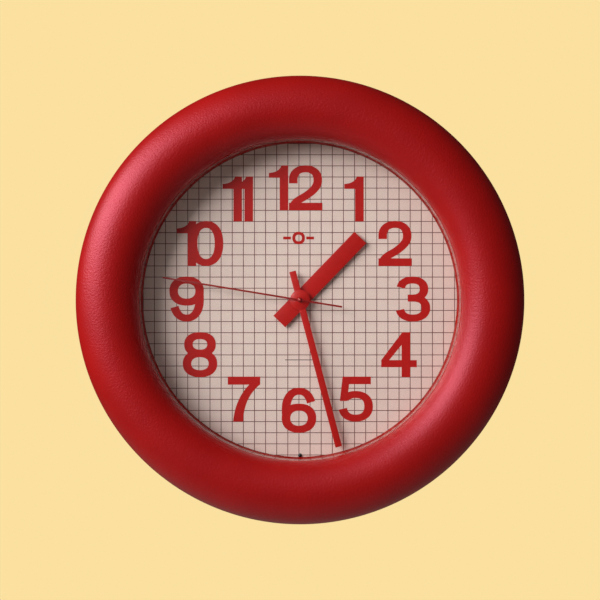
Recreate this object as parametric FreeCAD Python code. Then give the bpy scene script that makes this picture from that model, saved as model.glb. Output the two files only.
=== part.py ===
"""Ring-shaped quartz wall clock, in millimetres.

+Z is up and the dial faces -Y. The origin is where the hands' axis meets the wall. A depth is
the distance from the wall towards the room, so a point at depth d lies at y = -d.
"""
import FreeCAD, Part
import math
import os

# ---- overall sizes ----
clock_diameter = 250.0
ring_width = 35.5           # from the window's edge to the clock's widest point
rear_rim_inset = 7.5        # rear rim inside the clock's widest point
shell_wall = 2.5
wall_gap = 1.0              # between the wall and the movement's cover

# ---- stack, from the wall to the lip of the ring ----
movement_depth = 16.5
plate_thickness = 2.0
dial_thickness = 0.8
spacer_length = 9.0
lens_thickness = 2.0
lip_length = 6.0            # straight wall from the lens to where the roll begins
roll_rise = 13.5            # crown of the roll in front of its widest section
seat_width = 4.0            # how far lens, spacer and dial reach behind the lip
seat_clearance = 0.2

# ---- fasteners ----
screw_shank_radius = 1.2
screw_head_radius = 2.6
screw_head_height = 1.5
screw_recess_length = 3.1
screw_recess_width = 0.6
screw_recess_depth = 0.8
screw_hole_clearance = 0.4
boss_radius = 3.6
boss_sink = 0.6             # how far a boss is sunk into the wall beside it
plate_screw_count = 6
plate_screw_first_angle = 30.0
plate_screw_length = 12.0
plate_margin = 5.0          # plate outside its screw circle
bore_spare = 1.0            # a pilot hole is this much deeper than its screw

# ---- locating pin ----
pin_radius = 1.1
pin_inset = 0.8             # pin's axis inside the window's edge
pin_height = 1.2
pin_dome = 0.6
pin_clearance = 0.1

# ---- plate ribs ----
rib_count = 12
rib_width = 1.5
rib_height = 4.0
rib_inner_radius = 50.0
hoop_radius = 70.0

# ---- hanger ----
hanger_width = 40.0
hanger_height = 26.0
hanger_thickness = 1.0
hanger_depth = 2.0
hanger_corner = 3.0
hanger_post_spacing = 30.0
keyhole_margin = 22.0       # from the keyhole's round entry to the plate's edge
keyhole_radius = 4.5
keyhole_slot_width = 4.2
keyhole_slot_rise = 9.0
hanger_screw_length = 8.0

# ---- movement case ----
movement_width = 56.0
movement_wall = 1.2
movement_corner = 3.0
cover_thickness = 1.2
ear_end = 3.6               # ear beyond its screw
ear_gap = 0.4               # post beside the case
ear_height = 12.0
ear_thickness = 2.0
ear_depth = 9.0
movement_screw_length = 8.0

# ---- battery ----
battery_radius = 7.25
battery_length = 49.0
battery_shoulder_radius = 0.9
battery_nub_radius = 2.75
battery_nub_length = 1.5
battery_clearance = 0.25
partition_thickness = 1.0
contact_thickness = 0.4
contact_width = 9.0
contact_bump_radius = 2.0
contact_tip_radius = 1.2
contact_tab_width = 4.5
contact_tab_rise = 4.5      # tab above the partition

# ---- hands' arbors ----
running_clearance = 0.05
arbor_radius = 0.6
second_arbor_radius = 0.5
minute_tube_radius = 1.5
hour_tube_radius = 2.5
bush_radius = 4.0
bush_clearance = 0.2
bush_proud = 0.3            # bush beyond the dial's face

# ---- hands: tips from the window's edge, tails from the axis, and where each was set ----
hour_tip_margin = 40.0
hour_tail = 17.0
hour_width = 9.4
hour_turn = 44.0
minute_tip_margin = 3.3
minute_tail = 16.8
minute_width = 3.8
minute_turn = 165.2
minute_boss_radius = 5.7
minute_boss_rise = 0.9
second_tip_margin = 10.6
second_tail = 24.2
second_width = 1.0
second_turn = 279.3
second_pin_radius = 1.15
second_pin_rise = 0.9
second_pin_dome = 0.6
second_pin_foot = 0.55      # pin behind the hand's back
boss_hole_clearance = 0.2   # round the pin, in the minute hand's boss
hand_thickness = 0.5
second_hand_thickness = 0.3
hour_hand_lift = 2.0        # hand's back above the dial's face
hand_step = 2.0             # from one hand's back to the next
collet_wall = 0.7
collet_length = 1.1

# ---- gear train: teeth ----
rotor_leaves = 8
intermediate_teeth = 48
intermediate_leaves = 12
second_teeth = 60
second_leaves = 8
third_teeth = 60
third_leaves = 8
minute_teeth = 64
minute_leaves = 12
motion_teeth = 36
motion_leaves = 10
hour_teeth = 40
setting_leaves = 18

# ---- gear train: centre distances, and the direction of each from the axis it meshes with ----
third_distance = 11.0
third_direction = 160.0
motion_distance = 11.0
motion_direction = 25.0
intermediate_distance = 11.5
intermediate_direction = 95.0
rotor_distance = 7.0
rotor_direction = 150.0
setting_direction = -50.0

# ---- gear teeth, in modules ----
addendum = 0.8
dedendum = 1.15
tooth_slack = 0.08
pressure_angle = math.radians(20.0)
pinion_overhang = 0.1       # a pinion is this much wider than its wheel, on each side

# ---- gear train: depths, each wheel from its back face to its front face ----
magnet_span = (3.3, 5.0)
intermediate_span = (5.4, 6.6)
second_span = (7.2, 8.5)
third_span = (9.4, 10.6)
minute_span = (11.2, 12.4)
motion_span = (13.0, 14.2)
hour_span = (14.6, 15.9)
pivot_depth = 0.8
rear_boss_radius = 1.7
rear_boss_height = 0.7
pivot_end = 0.1             # end play of an arbor in its blind hole

# ---- setting knob ----
knob_radius = 4.5
knob_thickness = 2.6
knob_recess = 0.2
knob_shaft_radius = 1.0
knob_groove_radius = 0.35
knob_groove_count = 20
well_clearance = 0.6
well_wall = 0.8
well_end_gap = 0.4

# ---- motor and electronics ----
magnet_radius = 3.0
stator_air_gap = 0.4
stator_margin = 0.9
stator_span = (4.0, 4.8)
stator_leg_width = 3.0
coil_z = 23.0
coil_half_length = 7.0
coil_core_overhang = 3.5
coil_core_width = 3.0
coil_core_thickness = 1.6
bobbin_tube_radius = 2.2
bobbin_flange_radius = 3.4
bobbin_flange_thickness = 0.8
winding_radius = 2.95
core_clearance = 0.1
board_left = -26.3
board_right = -13.5
board_bottom = -10.0
board_top = 16.0
board_span = (5.0, 6.0)
chip_radius = 3.2
chip_height = 1.3
chip_z = -3.0
crystal_radius = 1.0
crystal_length = 6.0
crystal_edge_radius = 0.3
crystal_z = 8.0

# ---- depths that follow ----
movement_rear = wall_gap
movement_front = movement_rear + movement_depth
cover_front = movement_rear + cover_thickness
case_floor = movement_front - movement_wall
plate_front = movement_front + plate_thickness
dial_front = plate_front + dial_thickness
lens_rear = dial_front + spacer_length
lens_front = lens_rear + lens_thickness
lip_depth = lens_front + lip_length
hour_hand_depth = dial_front + hour_hand_lift
minute_hand_depth = hour_hand_depth + hand_step
second_hand_depth = minute_hand_depth + hand_step
battery_depth = case_floor - battery_clearance - battery_radius

# ---- radii that follow ----
clock_radius = clock_diameter / 2
window_radius = clock_radius - ring_width
seat_radius = window_radius + seat_width
insert_radius = seat_radius - seat_clearance
plate_screw_radius = seat_radius + shell_wall + boss_radius - boss_sink
plate_radius = plate_screw_radius + plate_margin
plate_hole_radius = screw_shank_radius + screw_hole_clearance
pin_z = pin_inset - window_radius
keyhole_z = plate_radius - keyhole_margin
hour_tip = window_radius - hour_tip_margin
minute_tip = window_radius - minute_tip_margin
second_tip = window_radius - second_tip_margin

# ---- movement layout that follows ----
movement_half = movement_width / 2
case_inner_half = movement_half - movement_wall
movement_post_reach = movement_half + ear_gap + boss_radius
battery_z = -movement_half + movement_wall + battery_clearance + battery_radius
partition_bottom = battery_z + battery_radius + battery_clearance
partition_top = partition_bottom + partition_thickness
well_radius = knob_radius + well_clearance
knob_front = movement_rear + knob_recess + knob_thickness
well_floor = knob_front + well_end_gap
pivot_rear = cover_front - pivot_depth + pivot_end
pivot_front = case_floor + pivot_depth - pivot_end


def polar(distance, degrees, start=(0.0, 0.0)):
    """Point (x, z) at a distance and direction from another, seen from the front."""
    angle = math.radians(degrees)
    return (start[0] + distance * math.cos(angle), start[1] + distance * math.sin(angle))


third_at = polar(third_distance, third_direction)
motion_at = polar(motion_distance, motion_direction)
intermediate_at = polar(intermediate_distance, intermediate_direction)
rotor_at = polar(rotor_distance, rotor_direction, intermediate_at)
motion_module = 2 * motion_distance / (motion_teeth + minute_leaves)
setting_distance = motion_module * (motion_teeth + setting_leaves) / 2
setting_at = polar(setting_distance, setting_direction, motion_at)


# ---- building blocks ----
def disc(radius, rear, front, at=(0.0, 0.0)):
    """Cylinder parallel to the hands' axis, between two depths."""
    start = FreeCAD.Vector(at[0], -rear, at[1])
    return Part.makeCylinder(radius, front - rear, start, FreeCAD.Vector(0, -1, 0))


def tube(outer, inner, rear, front, at=(0.0, 0.0)):
    """Hollow cylinder parallel to the hands' axis, between two depths."""
    return disc(outer, rear, front, at).cut(disc(inner, rear, front, at))


def block(x_low, x_high, rear, front, z_low, z_high):
    """Box between two depths."""
    corner = FreeCAD.Vector(x_low, -front, z_low)
    return Part.makeBox(x_high - x_low, front - rear, z_high - z_low, corner)


def rounded_block(x_half, z_low, z_high, rear, front, corner):
    """Box between two depths, centred on x, with its four long edges rounded."""
    body = block(-x_half, x_half, rear, front, z_low, z_high)
    boxes = [(edge, edge.BoundBox) for edge in body.Edges]
    along = [edge for edge, box in boxes if box.YLength > box.XLength + box.ZLength]
    return body.makeFillet(corner, along)


def turned(edges):
    """Solid turned about the hands' axis from edges drawn as (radius, -depth)."""
    face = Part.Face(Part.Wire(edges))
    return face.revolve(FreeCAD.Vector(0, 0, 0), FreeCAD.Vector(0, 1, 0), 360.0)


def section_point(radius, depth):
    """Point of a turned section."""
    return FreeCAD.Vector(radius, -depth, 0)


def section_line(start, end):
    """Straight edge of a turned section, between two (radius, depth) points."""
    return Part.makeLine(section_point(*start), section_point(*end))


def section_arc(start, middle, end):
    """Arc of a turned section, through three (radius, depth) points."""
    return Part.Arc(section_point(*start), section_point(*middle), section_point(*end)).toShape()


def section_arch(middle_radius, half_width, rise, base):
    """Half oval of a turned section, from its outer foot over its crown to its inner foot."""
    feet = [FreeCAD.Vector(1, 0, 0), FreeCAD.Vector(0, 1, 0), FreeCAD.Vector(-1, 0, 0)]
    curve = Part.Arc(*feet).toBSpline()
    for number, pole in enumerate(curve.getPoles(), 1):
        curve.setPole(number, section_point(middle_radius + half_width * pole.x, base + rise * pole.y))
    return curve.toShape()


def domed_disc(radius, rear, shoulder, rise):
    """Pin or boss on the hands' axis: a straight side up to the shoulder, then a shallow dome."""
    top = shoulder + rise
    ball = (radius ** 2 + rise ** 2) / (2 * rise)
    half = radius / 2
    halfway = top - ball + math.sqrt(ball ** 2 - half ** 2)
    edges = [section_line((0, rear), (radius, rear)), section_line((radius, rear), (radius, shoulder))]
    edges.append(section_arc((radius, shoulder), (half, halfway), (0, top)))
    edges.append(section_line((0, top), (0, rear)))
    return turned(edges)


def clockwise(shape, degrees):
    """Turn a shape about the hands' axis, clockwise as seen from the front."""
    shape.rotate(FreeCAD.Vector(0, 0, 0), FreeCAD.Vector(0, 1, 0), degrees)
    return shape


def screw(at, under_head, length):
    """Pan-head screw driven from the back: head behind its seat, shank towards the front."""
    head_rear = under_head - screw_head_height
    head = disc(screw_head_radius, head_rear, under_head, at)
    shank = disc(screw_shank_radius, under_head, under_head + length, at)
    half = screw_recess_length / 2
    slot = screw_recess_width / 2
    bottom = head_rear + screw_recess_depth
    upright = block(at[0] - slot, at[0] + slot, head_rear, bottom, at[1] - half, at[1] + half)
    level = block(at[0] - half, at[0] + half, head_rear, bottom, at[1] - slot, at[1] + slot)
    return head.fuse(shank).cut(upright).cut(level).removeSplitter()


# ---- gears ----
def involute(angle):
    """Involute function of an angle."""
    return math.tan(angle) - angle


def tooth_half_angle(radius, teeth, module):
    """Half of a tooth's angle at a radius, thinned by the slack."""
    pitch_radius = module * teeth / 2
    base_radius = pitch_radius * math.cos(pressure_angle)
    flank = math.acos(min(1.0, base_radius / max(radius, base_radius)))
    full = math.pi / (2 * teeth) + involute(pressure_angle) - involute(flank)
    return full - tooth_slack * module / pitch_radius


def gear(teeth, module, span, at=(0.0, 0.0), phase=0.0):
    """Toothed disc between two depths, with one tooth centred on the phase angle."""
    pitch_radius = module * teeth / 2
    root_radius = pitch_radius - dedendum * module
    radii = [root_radius, pitch_radius, pitch_radius + addendum * module]
    points = []
    for tooth in range(teeth):
        centre = phase + tooth * 2 * math.pi / teeth
        rising = [(r, centre - tooth_half_angle(r, teeth, module)) for r in radii]
        falling = [(r, centre + tooth_half_angle(r, teeth, module)) for r in reversed(radii)]
        points += [(at[0] + r * math.cos(a), at[1] + r * math.sin(a)) for r, a in rising + falling]
    corners = [FreeCAD.Vector(x, -span[0], z) for x, z in points]
    face = Part.Face(Part.makePolygon(corners + corners[:1]))
    return face.extrude(FreeCAD.Vector(0, span[0] - span[1], 0))


def meshing_phase(teeth, phase, direction, other_teeth):
    """Phase of a gear that lies in a direction (degrees) from another and is in mesh with it."""
    towards = math.radians(direction)
    return towards + math.pi - (phase - towards) * teeth / other_teeth + math.pi / other_teeth


def module_of(distance, teeth, other_teeth):
    """Module of two gears that mesh at a centre distance."""
    return 2 * distance / (teeth + other_teeth)


def widened(span):
    """Depths of a pinion that meshes with a wheel of the given depths."""
    return (span[0] - pinion_overhang, span[1] + pinion_overhang)


def facing(direction):
    """Opposite direction, in degrees."""
    return direction + 180.0


# ---- case, front to back ----
def ring_wall_arc(inset):
    """Outer wall's arc from the widest point back to the wall, set in by a wall's thickness."""
    bow = (lip_depth ** 2 + rear_rim_inset ** 2) / (2 * rear_rim_inset)
    centre = clock_radius - bow
    radius = bow - inset
    halfway = lip_depth / 2
    start = (clock_radius - inset, lip_depth)
    middle = (centre + math.sqrt(radius ** 2 - halfway ** 2), halfway)
    end = (centre + math.sqrt(radius ** 2 - lip_depth ** 2), 0.0)
    return start, middle, end


def ring_section(filled):
    """Edges of the ring's section: the open moulded shell, or the same outline filled in."""
    roll = ring_width / 2
    middle_radius = window_radius + roll
    outer = ring_wall_arc(0.0)
    inner = ring_wall_arc(shell_wall)
    skirt = seat_radius + shell_wall
    shoulder = lens_front + shell_wall
    throat = window_radius + shell_wall
    edges = [section_arc(outer[2], outer[1], outer[0])]
    edges.append(section_arch(middle_radius, roll, roll_rise, lip_depth))
    edges.append(section_line((window_radius, lip_depth), (window_radius, lens_front)))
    edges.append(section_line((window_radius, lens_front), (seat_radius, lens_front)))
    edges.append(section_line((seat_radius, lens_front), (seat_radius, plate_front)))
    if filled:
        edges.append(section_line((seat_radius, plate_front), (seat_radius, 0.0)))
        edges.append(section_line((seat_radius, 0.0), outer[2]))
        return edges
    corners = [(seat_radius, plate_front), (skirt, plate_front), (skirt, shoulder)]
    corners += [(throat, shoulder), (throat, lip_depth)]
    edges += [section_line(a, b) for a, b in zip(corners, corners[1:])]
    edges.append(section_arch(middle_radius, roll - shell_wall, roll_rise - shell_wall, lip_depth))
    edges.append(section_arc(*inner))
    edges.append(section_line(inner[2], outer[2]))
    return edges


def plate_screw_places():
    """Centres of the screws that hold the back plate to the ring."""
    step = 360.0 / plate_screw_count
    directions = [plate_screw_first_angle + step * i for i in range(plate_screw_count)]
    return [polar(plate_screw_radius, direction) for direction in directions]


def case_ring():
    """Moulded ring: a hollow shell, open at the back, with a boss inside it for each screw."""
    shell = turned(ring_section(False))
    room = turned(ring_section(True))
    crown = lip_depth + roll_rise
    pilot_end = movement_front + plate_screw_length + bore_spare
    for at in plate_screw_places():
        post = disc(boss_radius, plate_front, crown, at).common(room)
        pilot = disc(screw_shank_radius, plate_front, pilot_end, at)
        shell = shell.fuse(post).cut(pilot)
    return shell.removeSplitter()


def lens():
    """Flat clear disc behind the lip."""
    return disc(insert_radius, lens_rear, lens_front)


def spacer_ring():
    """Ring between lens and dial, flush with the lip, notched for the locating pin."""
    ring = tube(insert_radius, window_radius, dial_front, lens_rear)
    notch_front = dial_front + pin_height + pin_clearance
    return ring.cut(disc(pin_radius + pin_clearance, dial_front, notch_front, (0, pin_z)))


def dial():
    """Printed disc, with holes for the bush and the locating pin."""
    sheet = disc(insert_radius, plate_front, dial_front)
    hole = disc(bush_radius + bush_clearance, plate_front, dial_front)
    return sheet.cut(hole).cut(disc(pin_radius, plate_front, dial_front, (0, pin_z)))


def locating_pin():
    """Black pin pressed into the plate, with a rounded head, that keeps the dial upright."""
    pin = domed_disc(pin_radius, movement_front, dial_front + pin_height - pin_dome, pin_dome)
    pin.translate(FreeCAD.Vector(0, 0, pin_z))
    return pin


# ---- back plate and hanger ----
def movement_post_places():
    """Centres of the two posts that hold the movement by its ears."""
    return [(-movement_post_reach, 0.0), (movement_post_reach, 0.0)]


def hanger_post_places():
    """Centres of the two posts that hold the hanger plate, level with its middle."""
    return [(side * hanger_post_spacing / 2, hanger_middle_z()) for side in (-1, 1)]


def hanger_middle_z():
    """Height of the hanger plate's middle: the keyhole's round entry lies low on it."""
    return keyhole_z + keyhole_slot_rise / 2


def plate_rib(index):
    """One radial rib on the back of the plate, half a step round from 12."""
    half = rib_width / 2
    rib = block(-half, half, movement_front - rib_height, movement_front, rib_inner_radius, seat_radius)
    return clockwise(rib, (index + 0.5) * 360.0 / rib_count)


def back_plate():
    """Ribbed plate behind the dial, with the posts for the movement and for the hanger."""
    plate = disc(plate_radius, movement_front, plate_front)
    hoop = tube(hoop_radius, hoop_radius - rib_width, movement_front - rib_height, movement_front)
    plate = plate.fuse([hoop] + [plate_rib(i) for i in range(rib_count)])
    ear_front = ear_depth + ear_thickness
    hanger_front = hanger_depth + hanger_thickness
    posts = [disc(boss_radius, ear_front, movement_front, at) for at in movement_post_places()]
    posts += [disc(boss_radius, hanger_front, movement_front, at) for at in hanger_post_places()]
    plate = plate.fuse(posts)
    holes = [disc(bush_radius + bush_clearance, movement_front, plate_front)]
    holes.append(disc(pin_radius, movement_front, plate_front, (0, pin_z)))
    holes += [disc(plate_hole_radius, movement_front, plate_front, at) for at in plate_screw_places()]
    movement_pilot = ear_depth + movement_screw_length + bore_spare
    holes += [disc(screw_shank_radius, ear_front, movement_pilot, at) for at in movement_post_places()]
    hanger_pilot = hanger_depth + hanger_screw_length + bore_spare
    holes += [disc(screw_shank_radius, hanger_front, hanger_pilot, at) for at in hanger_post_places()]
    return plate.cut(holes).removeSplitter()


def plate_screws():
    """Screws that close the back plate onto the ring."""
    screws = [screw(at, movement_front, plate_screw_length) for at in plate_screw_places()]
    return Part.makeCompound(screws)


def hanger_plate():
    """Pressed steel plate with a keyhole: a round entry and a slot that rises from it."""
    low = hanger_middle_z() - hanger_height / 2
    front = hanger_depth + hanger_thickness
    plate = rounded_block(hanger_width / 2, low, low + hanger_height, hanger_depth, front, hanger_corner)
    slot_half = keyhole_slot_width / 2
    slot_top = keyhole_z + keyhole_slot_rise
    holes = [disc(keyhole_radius, hanger_depth, front, (0, keyhole_z))]
    holes.append(block(-slot_half, slot_half, hanger_depth, front, keyhole_z, slot_top))
    holes.append(disc(slot_half, hanger_depth, front, (0, slot_top)))
    holes += [disc(plate_hole_radius, hanger_depth, front, at) for at in hanger_post_places()]
    return plate.cut(holes)


def hanger_screws():
    """Two screws that hold the hanger plate."""
    screws = [screw(at, hanger_depth, hanger_screw_length) for at in hanger_post_places()]
    return Part.makeCompound(screws)


# ---- movement's case ----
def front_pivots():
    """Places of the arbors that turn in the floor of the movement's case."""
    return [third_at, intermediate_at, rotor_at, motion_at]


def contact_place(side):
    """Low and high x of a contact's leaf, which stands against the end wall on its side."""
    outer = side * case_inner_half
    inner = side * (case_inner_half - contact_thickness)
    return min(outer, inner), max(outer, inner)


def contact_tab(side, z_low, z_high):
    """Upright strip of a contact that leads up from the trough to the board."""
    x_low, x_high = contact_place(side)
    half = contact_tab_width / 2
    return block(x_low, x_high, battery_depth - half, battery_depth + half, z_low, z_high)


def movement_ear(side):
    """Lug on one side of the case, with a hole for its screw."""
    at = (side * movement_post_reach, 0.0)
    x_low, x_high = sorted([side * movement_half, at[0] + side * ear_end])
    front = ear_depth + ear_thickness
    ear = block(x_low, x_high, ear_depth, front, -ear_height / 2, ear_height / 2)
    return ear.cut(disc(plate_hole_radius, ear_depth, front, at))


def movement_case():
    """Box of the movement: gear chamber above, battery trough below, bush in front, two ears."""
    half = movement_half
    body = rounded_block(half, -half, half, cover_front, movement_front, movement_corner)
    inner = case_inner_half
    bush_front = dial_front + bush_proud
    pivot_floor = case_floor + pivot_depth
    body = body.fuse([movement_ear(-1), movement_ear(1), disc(bush_radius, case_floor, bush_front)])
    holes = [block(-inner, inner, cover_front, case_floor, partition_top, inner)]
    holes.append(block(-inner, inner, cover_front, case_floor, -inner, partition_bottom))
    holes.append(disc(hour_tube_radius + running_clearance, case_floor, bush_front))
    holes += [disc(arbor_radius + running_clearance, case_floor, pivot_floor, at) for at in front_pivots()]
    holes.append(disc(knob_shaft_radius + running_clearance, case_floor, pivot_floor, setting_at))
    holes += [contact_tab(side, partition_bottom, partition_top) for side in (-1, 1)]
    return body.cut(holes).removeSplitter()


def movement_cover():
    """Lid of the gear chamber, with rear pivots and a well that sinks the setting knob."""
    half = movement_half
    lid = rounded_block(half, partition_bottom, half, movement_rear, cover_front, movement_corner)
    well_front = well_floor + well_wall
    boss_front = cover_front + rear_boss_height
    bore_floor = cover_front - pivot_depth
    solids = [disc(well_radius + well_wall, movement_rear, well_front, setting_at)]
    solids += [disc(rear_boss_radius, cover_front, boss_front, at) for at in front_pivots() + [(0.0, 0.0)]]
    holes = [disc(well_radius, movement_rear, well_floor, setting_at)]
    holes.append(disc(knob_shaft_radius + running_clearance, well_floor, well_front, setting_at))
    holes += [disc(arbor_radius + running_clearance, bore_floor, boss_front, at) for at in front_pivots()]
    holes.append(disc(second_arbor_radius + running_clearance, bore_floor, boss_front))
    return lid.fuse(solids).cut(holes).removeSplitter()


def movement_screws():
    """Two screws through the ears into the plate's posts."""
    screws = [screw(at, ear_depth, movement_screw_length) for at in movement_post_places()]
    return Part.makeCompound(screws)


# ---- battery and contacts ----
def battery():
    """Size AA cell lying across the bottom of the movement, its nub to the right."""
    start = FreeCAD.Vector(-(battery_length + battery_nub_length) / 2, -battery_depth, battery_z)
    along = FreeCAD.Vector(1, 0, 0)
    can = Part.makeCylinder(battery_radius, battery_length, start, along)
    can = can.makeFillet(battery_shoulder_radius, can.Edges)
    nub_start = start + FreeCAD.Vector(battery_length, 0, 0)
    nub = Part.makeCylinder(battery_nub_radius, battery_nub_length, nub_start, along)
    return can.fuse(nub).removeSplitter()


def contact(side):
    """Spring-steel contact: a leaf at the trough's end, a bump on the cell, a tab to the board."""
    x_low, x_high = contact_place(side)
    half = contact_width / 2
    rear, front = battery_depth - half, battery_depth + half
    leaf = block(x_low, x_high, rear, front, battery_z - half, battery_z + half)
    tab = contact_tab(side, battery_z, partition_top + contact_tab_rise)
    cell_end = (battery_length + battery_nub_length) / 2
    reach = case_inner_half - contact_thickness / 2 - cell_end
    start = FreeCAD.Vector(side * cell_end, -battery_depth, battery_z)
    outward = FreeCAD.Vector(side, 0, 0)
    bump = Part.makeCone(contact_tip_radius, contact_bump_radius, reach, start, outward)
    return leaf.fuse(tab).fuse(bump).removeSplitter()


def positive_contact():
    """Contact at the cell's nub."""
    return contact(1)


def negative_contact():
    """Contact at the cell's flat end."""
    return contact(-1)


# ---- motor and electronics ----
def coil_depth():
    """Depth of the coil's axis: its core lies on the front of the stator."""
    return stator_span[1] + coil_core_thickness / 2


def coil_cylinder(radius, x_low, x_high):
    """Cylinder on the coil's axis."""
    start = FreeCAD.Vector(x_low, -coil_depth(), coil_z)
    return Part.makeCylinder(radius, x_high - x_low, start, FreeCAD.Vector(1, 0, 0))


def coil_core_bar(clearance):
    """Bar through the bobbin, grown by a clearance."""
    reach = coil_half_length + coil_core_overhang
    thick = coil_core_thickness / 2 + clearance
    wide = coil_core_width / 2 + clearance
    return block(-reach, reach, coil_depth() - thick, coil_depth() + thick, coil_z - wide, coil_z + wide)


def coil_core():
    """Soft-iron bar that carries the field from the coil to the stator."""
    return coil_core_bar(0.0)


def coil_bobbin():
    """Moulded spool around the core."""
    end = coil_half_length
    flange = bobbin_flange_thickness
    spool = coil_cylinder(bobbin_tube_radius, -end, end)
    spool = spool.fuse(coil_cylinder(bobbin_flange_radius, -end, flange - end))
    spool = spool.fuse(coil_cylinder(bobbin_flange_radius, end - flange, end))
    return spool.cut(coil_core_bar(core_clearance)).removeSplitter()


def coil_winding():
    """Fine enamelled wire, wound solid on the spool."""
    end = coil_half_length - bobbin_flange_thickness
    return coil_cylinder(winding_radius, -end, end).cut(coil_cylinder(bobbin_tube_radius, -end, end))


def stator():
    """Flat soft-iron plate around the rotor, with a leg to each end of the coil's core."""
    rear, front = stator_span
    hole = magnet_radius + stator_air_gap
    rim = hole + stator_margin
    reach = coil_half_length + coil_core_overhang
    top = coil_z + coil_core_width / 2
    leg = stator_leg_width
    low = rotor_at[1] - leg / 2
    plate = disc(rim, rear, front, rotor_at)
    plate = plate.fuse(block(-reach, leg - reach, rear, front, rotor_at[1], top))
    plate = plate.fuse(block(rotor_at[0], reach, rear, front, low, low + leg))
    plate = plate.fuse(block(reach - leg, reach, rear, front, low, top))
    return plate.cut(disc(hole, rear, front, rotor_at)).removeSplitter()


def circuit_board():
    """Small board at the left of the gear chamber."""
    return block(board_left, board_right, board_span[0], board_span[1], board_bottom, board_top)


def clock_chip():
    """Chip under its blob of resin, a shallow dome on the board."""
    ball = (chip_radius ** 2 + chip_height ** 2) / (2 * chip_height)
    centre_depth = board_span[1] + chip_height - ball
    middle_x = (board_left + board_right) / 2
    dome = Part.makeSphere(ball, FreeCAD.Vector(middle_x, -centre_depth, chip_z))
    return dome.common(disc(ball, board_span[1], board_span[1] + chip_height, (middle_x, chip_z)))


def quartz_crystal():
    """Crystal in its little metal can, lying on the board."""
    middle_x = (board_left + board_right) / 2
    start = FreeCAD.Vector(middle_x - crystal_length / 2, -(board_span[1] + crystal_radius), crystal_z)
    can = Part.makeCylinder(crystal_radius, crystal_length, start, FreeCAD.Vector(1, 0, 0))
    return can.makeFillet(crystal_edge_radius, can.Edges)


# ---- gear train ----
def rotor_magnet():
    """Two-pole magnet of the step motor."""
    return tube(magnet_radius, arbor_radius, magnet_span[0], magnet_span[1], rotor_at)


def rotor_pinion():
    """Rotor's arbor with its small pinion."""
    module = module_of(rotor_distance, intermediate_teeth, rotor_leaves)
    phase = meshing_phase(intermediate_teeth, 0.0, rotor_direction, rotor_leaves)
    arbor = disc(arbor_radius, pivot_rear, pivot_front, rotor_at)
    pinion = gear(rotor_leaves, module, widened(intermediate_span), rotor_at, phase)
    return arbor.fuse(pinion).removeSplitter()


def intermediate_wheel():
    """Wheel between rotor and second wheel, moulded with its pinion and arbor."""
    wheel_module = module_of(rotor_distance, intermediate_teeth, rotor_leaves)
    pinion_module = module_of(intermediate_distance, second_teeth, intermediate_leaves)
    phase = meshing_phase(second_teeth, 0.0, intermediate_direction, intermediate_leaves)
    arbor = disc(arbor_radius, pivot_rear, pivot_front, intermediate_at)
    wheel = gear(intermediate_teeth, wheel_module, intermediate_span, intermediate_at)
    pinion_span = (intermediate_span[1], widened(second_span)[1])
    pinion = gear(intermediate_leaves, pinion_module, pinion_span, intermediate_at, phase)
    return arbor.fuse([wheel, pinion]).removeSplitter()


def second_wheel():
    """Wheel of the second hand with the pinion that drives the third wheel."""
    wheel_module = module_of(intermediate_distance, second_teeth, intermediate_leaves)
    pinion_module = module_of(third_distance, third_teeth, second_leaves)
    wheel = gear(second_teeth, wheel_module, second_span)
    pinion = gear(second_leaves, pinion_module, (second_span[1], widened(third_span)[1]))
    hub = disc(second_arbor_radius, second_span[0], widened(third_span)[1])
    return wheel.fuse(pinion).cut(hub).removeSplitter()


def second_arbor():
    """Steel shaft through the whole movement, which carries the second hand."""
    return disc(second_arbor_radius, pivot_rear, second_hand_depth + second_hand_thickness)


def third_wheel():
    """Wheel between second and minute wheel, moulded with its pinion and arbor."""
    wheel_module = module_of(third_distance, third_teeth, second_leaves)
    pinion_module = module_of(third_distance, minute_teeth, third_leaves)
    phase = meshing_phase(second_leaves, 0.0, third_direction, third_teeth)
    arbor = disc(arbor_radius, pivot_rear, pivot_front, third_at)
    wheel = gear(third_teeth, wheel_module, third_span, third_at, phase)
    pinion = gear(third_leaves, pinion_module, (third_span[1], widened(minute_span)[1]), third_at)
    return arbor.fuse([wheel, pinion]).removeSplitter()


def minute_wheel():
    """Wheel, pinion and tube of the minute hand."""
    wheel_module = module_of(third_distance, minute_teeth, third_leaves)
    phase = meshing_phase(third_leaves, 0.0, facing(third_direction), minute_teeth)
    wheel = gear(minute_teeth, wheel_module, minute_span, (0.0, 0.0), phase)
    pinion = gear(minute_leaves, motion_module, (minute_span[1], widened(motion_span)[1]))
    sleeve = disc(minute_tube_radius, minute_span[0], minute_hand_depth + hand_thickness)
    bore = disc(second_arbor_radius + running_clearance, minute_span[0], minute_hand_depth + hand_thickness)
    return wheel.fuse([pinion, sleeve]).cut(bore).removeSplitter()


def motion_wheel():
    """Wheel that brings the minute wheel's turn down to the hour wheel, with pinion and arbor."""
    pinion_module = module_of(motion_distance, hour_teeth, motion_leaves)
    phase = meshing_phase(minute_leaves, 0.0, motion_direction, motion_teeth)
    arbor = disc(arbor_radius, pivot_rear, pivot_front, motion_at)
    wheel = gear(motion_teeth, motion_module, motion_span, motion_at, phase)
    pinion = gear(motion_leaves, pinion_module, (motion_span[1], widened(hour_span)[1]), motion_at)
    return arbor.fuse([wheel, pinion]).removeSplitter()


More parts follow.
